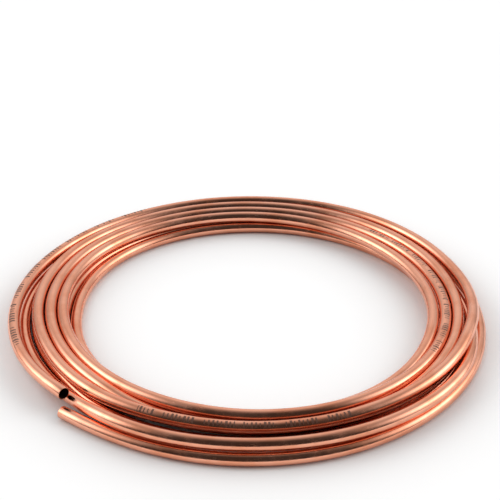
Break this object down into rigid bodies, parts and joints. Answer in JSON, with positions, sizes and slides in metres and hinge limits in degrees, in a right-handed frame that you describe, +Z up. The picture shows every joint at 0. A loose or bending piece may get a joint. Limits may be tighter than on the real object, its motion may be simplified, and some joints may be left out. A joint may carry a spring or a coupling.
{
  "type": "copper tube coil",
  "caption": "Flat two-layer coil of soft round copper tube with a wide open eye and two free square-cut ends, raw stock for plumbing and refrigeration lines.",
  "frame": {"origin": "on the floor below the middle of the coil's eye", "axes": "+Z up, -Y towards the side where both free ends lie, +X to its right"},
  "size_m": [0.4042, 0.3967, 0.0211],
  "materials": {
    "copper": "bright drawn copper, lightly handled"
  },
  "bodies": {
    "root": {"tube_coil": "copper"}
  },
  "joints": []
}
